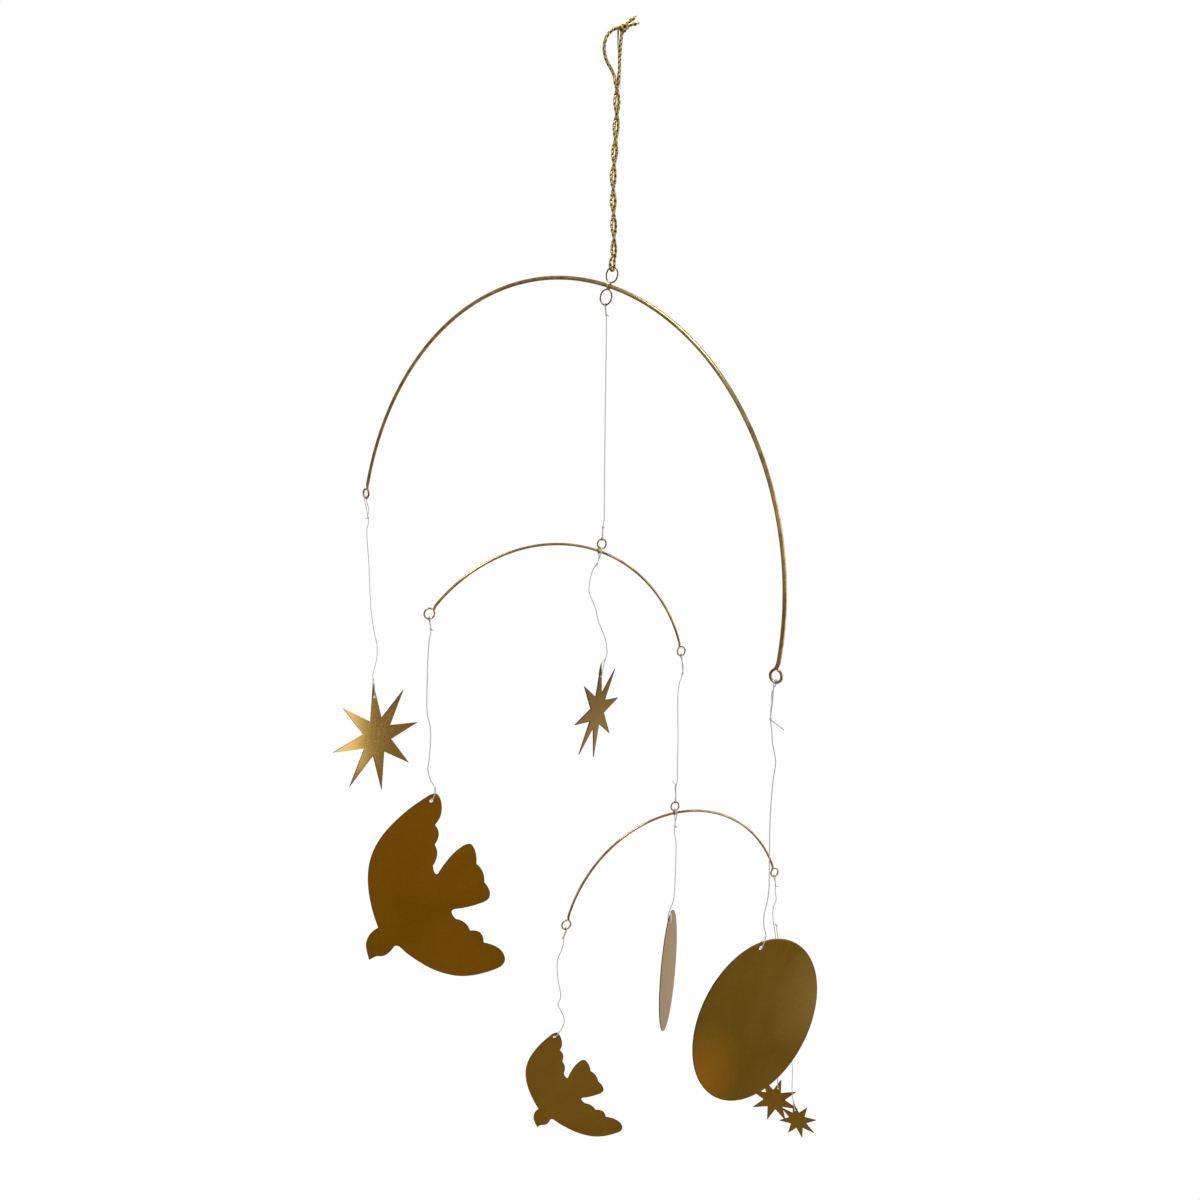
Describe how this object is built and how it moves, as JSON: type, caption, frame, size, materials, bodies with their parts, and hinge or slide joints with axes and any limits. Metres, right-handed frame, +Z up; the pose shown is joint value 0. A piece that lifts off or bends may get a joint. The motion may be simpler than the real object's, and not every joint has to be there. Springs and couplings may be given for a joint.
{
  "type": "hanging mobile sculpture",
  "caption": "Hanging mobile of three bent brass wire arches that carry flat brass birds, eight-pointed stars and plain discs on fine threads.",
  "frame": {"origin": "inside top of the cord's loop, where a hook or nail holds the mobile", "axes": "+Z up; +X along the top arch from its left end to its right end; +Y away from the front"},
  "size_m": [0.3266, 0.2419, 0.6153],
  "materials": {
    "brass_sheet": "rolled brass sheet with a satin brushed face and dark cut edges",
    "brass_wire": "drawn brass wire with a soft shine",
    "eye_wire": "thin brass wire, greyed by soldering",
    "gold_cord": "pale gold metallic braided cord",
    "white_thread": "ivory sewing thread"
  },
  "bodies": {
    "root": {"hanging_cord": "gold_cord", "hanging_cord_knot": "gold_cord", "top_arch": "brass_wire", "middle_arch": "brass_wire", "lower_arch": "brass_wire", "top_arch_double_eye": "eye_wire", "middle_arch_eye": "eye_wire", "lower_arch_eye": "eye_wire", "left_star": "brass_sheet", "middle_star": "brass_sheet", "small_star_a": "brass_sheet", "small_star_b": "brass_sheet", "large_disc": "brass_sheet", "small_disc": "brass_sheet", "large_bird": "brass_sheet", "small_bird": "brass_sheet", "thread_middle_arch": "white_thread", "thread_left_star": "white_thread", "thread_large_bird": "white_thread", "thread_middle_star": "white_thread", "thread_lower_arch": "white_thread", "thread_small_disc": "white_thread", "thread_large_disc": "white_thread", "thread_small_bird": "white_thread", "thread_small_star_a": "white_thread", "thread_small_star_b": "white_thread"}
  },
  "joints": []
}
